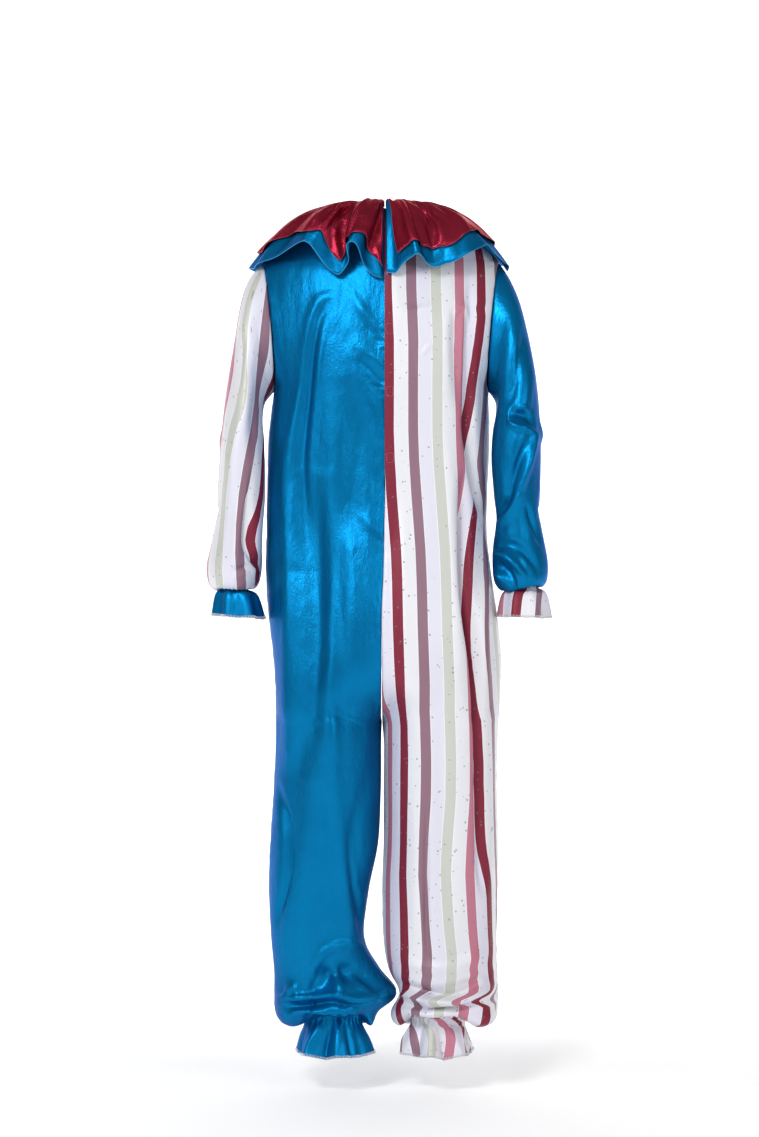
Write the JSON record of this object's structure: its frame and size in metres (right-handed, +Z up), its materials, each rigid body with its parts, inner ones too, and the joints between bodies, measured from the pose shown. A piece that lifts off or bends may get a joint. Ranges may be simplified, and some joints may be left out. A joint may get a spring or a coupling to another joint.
{
  "type": "clown jumpsuit",
  "caption": "Worn clown jumpsuit in two satins, half plain and half striped, with a double ruffle collar, lapped back opening, bloused sleeves and elasticated flounced ankles",
  "frame": {"origin": "middle of the neck seam, where the wearer's neck and shoulders hold the garment up", "axes": "+Z up along the body, +Y the way the wearer faces, +X the wearer's right; the back, with its opening, faces -Y"},
  "size_m": [0.6122, 0.3351, 1.5087],
  "materials": {
    "blue_satin": "glossy woven polyester satin, bright blue",
    "striped_satin": "white woven satin with printed lengthwise stripes in burgundy, mauve, sage and rose",
    "burgundy_satin": "glossy woven polyester satin, burgundy",
    "hook_loop": "white sewn-on hook-and-loop tape"
  },
  "bodies": {
    "root": {"back_left": "blue_satin", "back_right": "striped_satin", "front_left": "blue_satin", "front_right": "striped_satin", "sleeve_left": "striped_satin", "sleeve_right": "blue_satin", "cuff_left": "blue_satin", "cuff_right": "striped_satin", "collar_under": "blue_satin", "collar_upper": "burgundy_satin", "neckband": "burgundy_satin", "closure_patch_1": "hook_loop", "closure_patch_2": "hook_loop", "closure_patch_3": "hook_loop"}
  },
  "joints": []
}
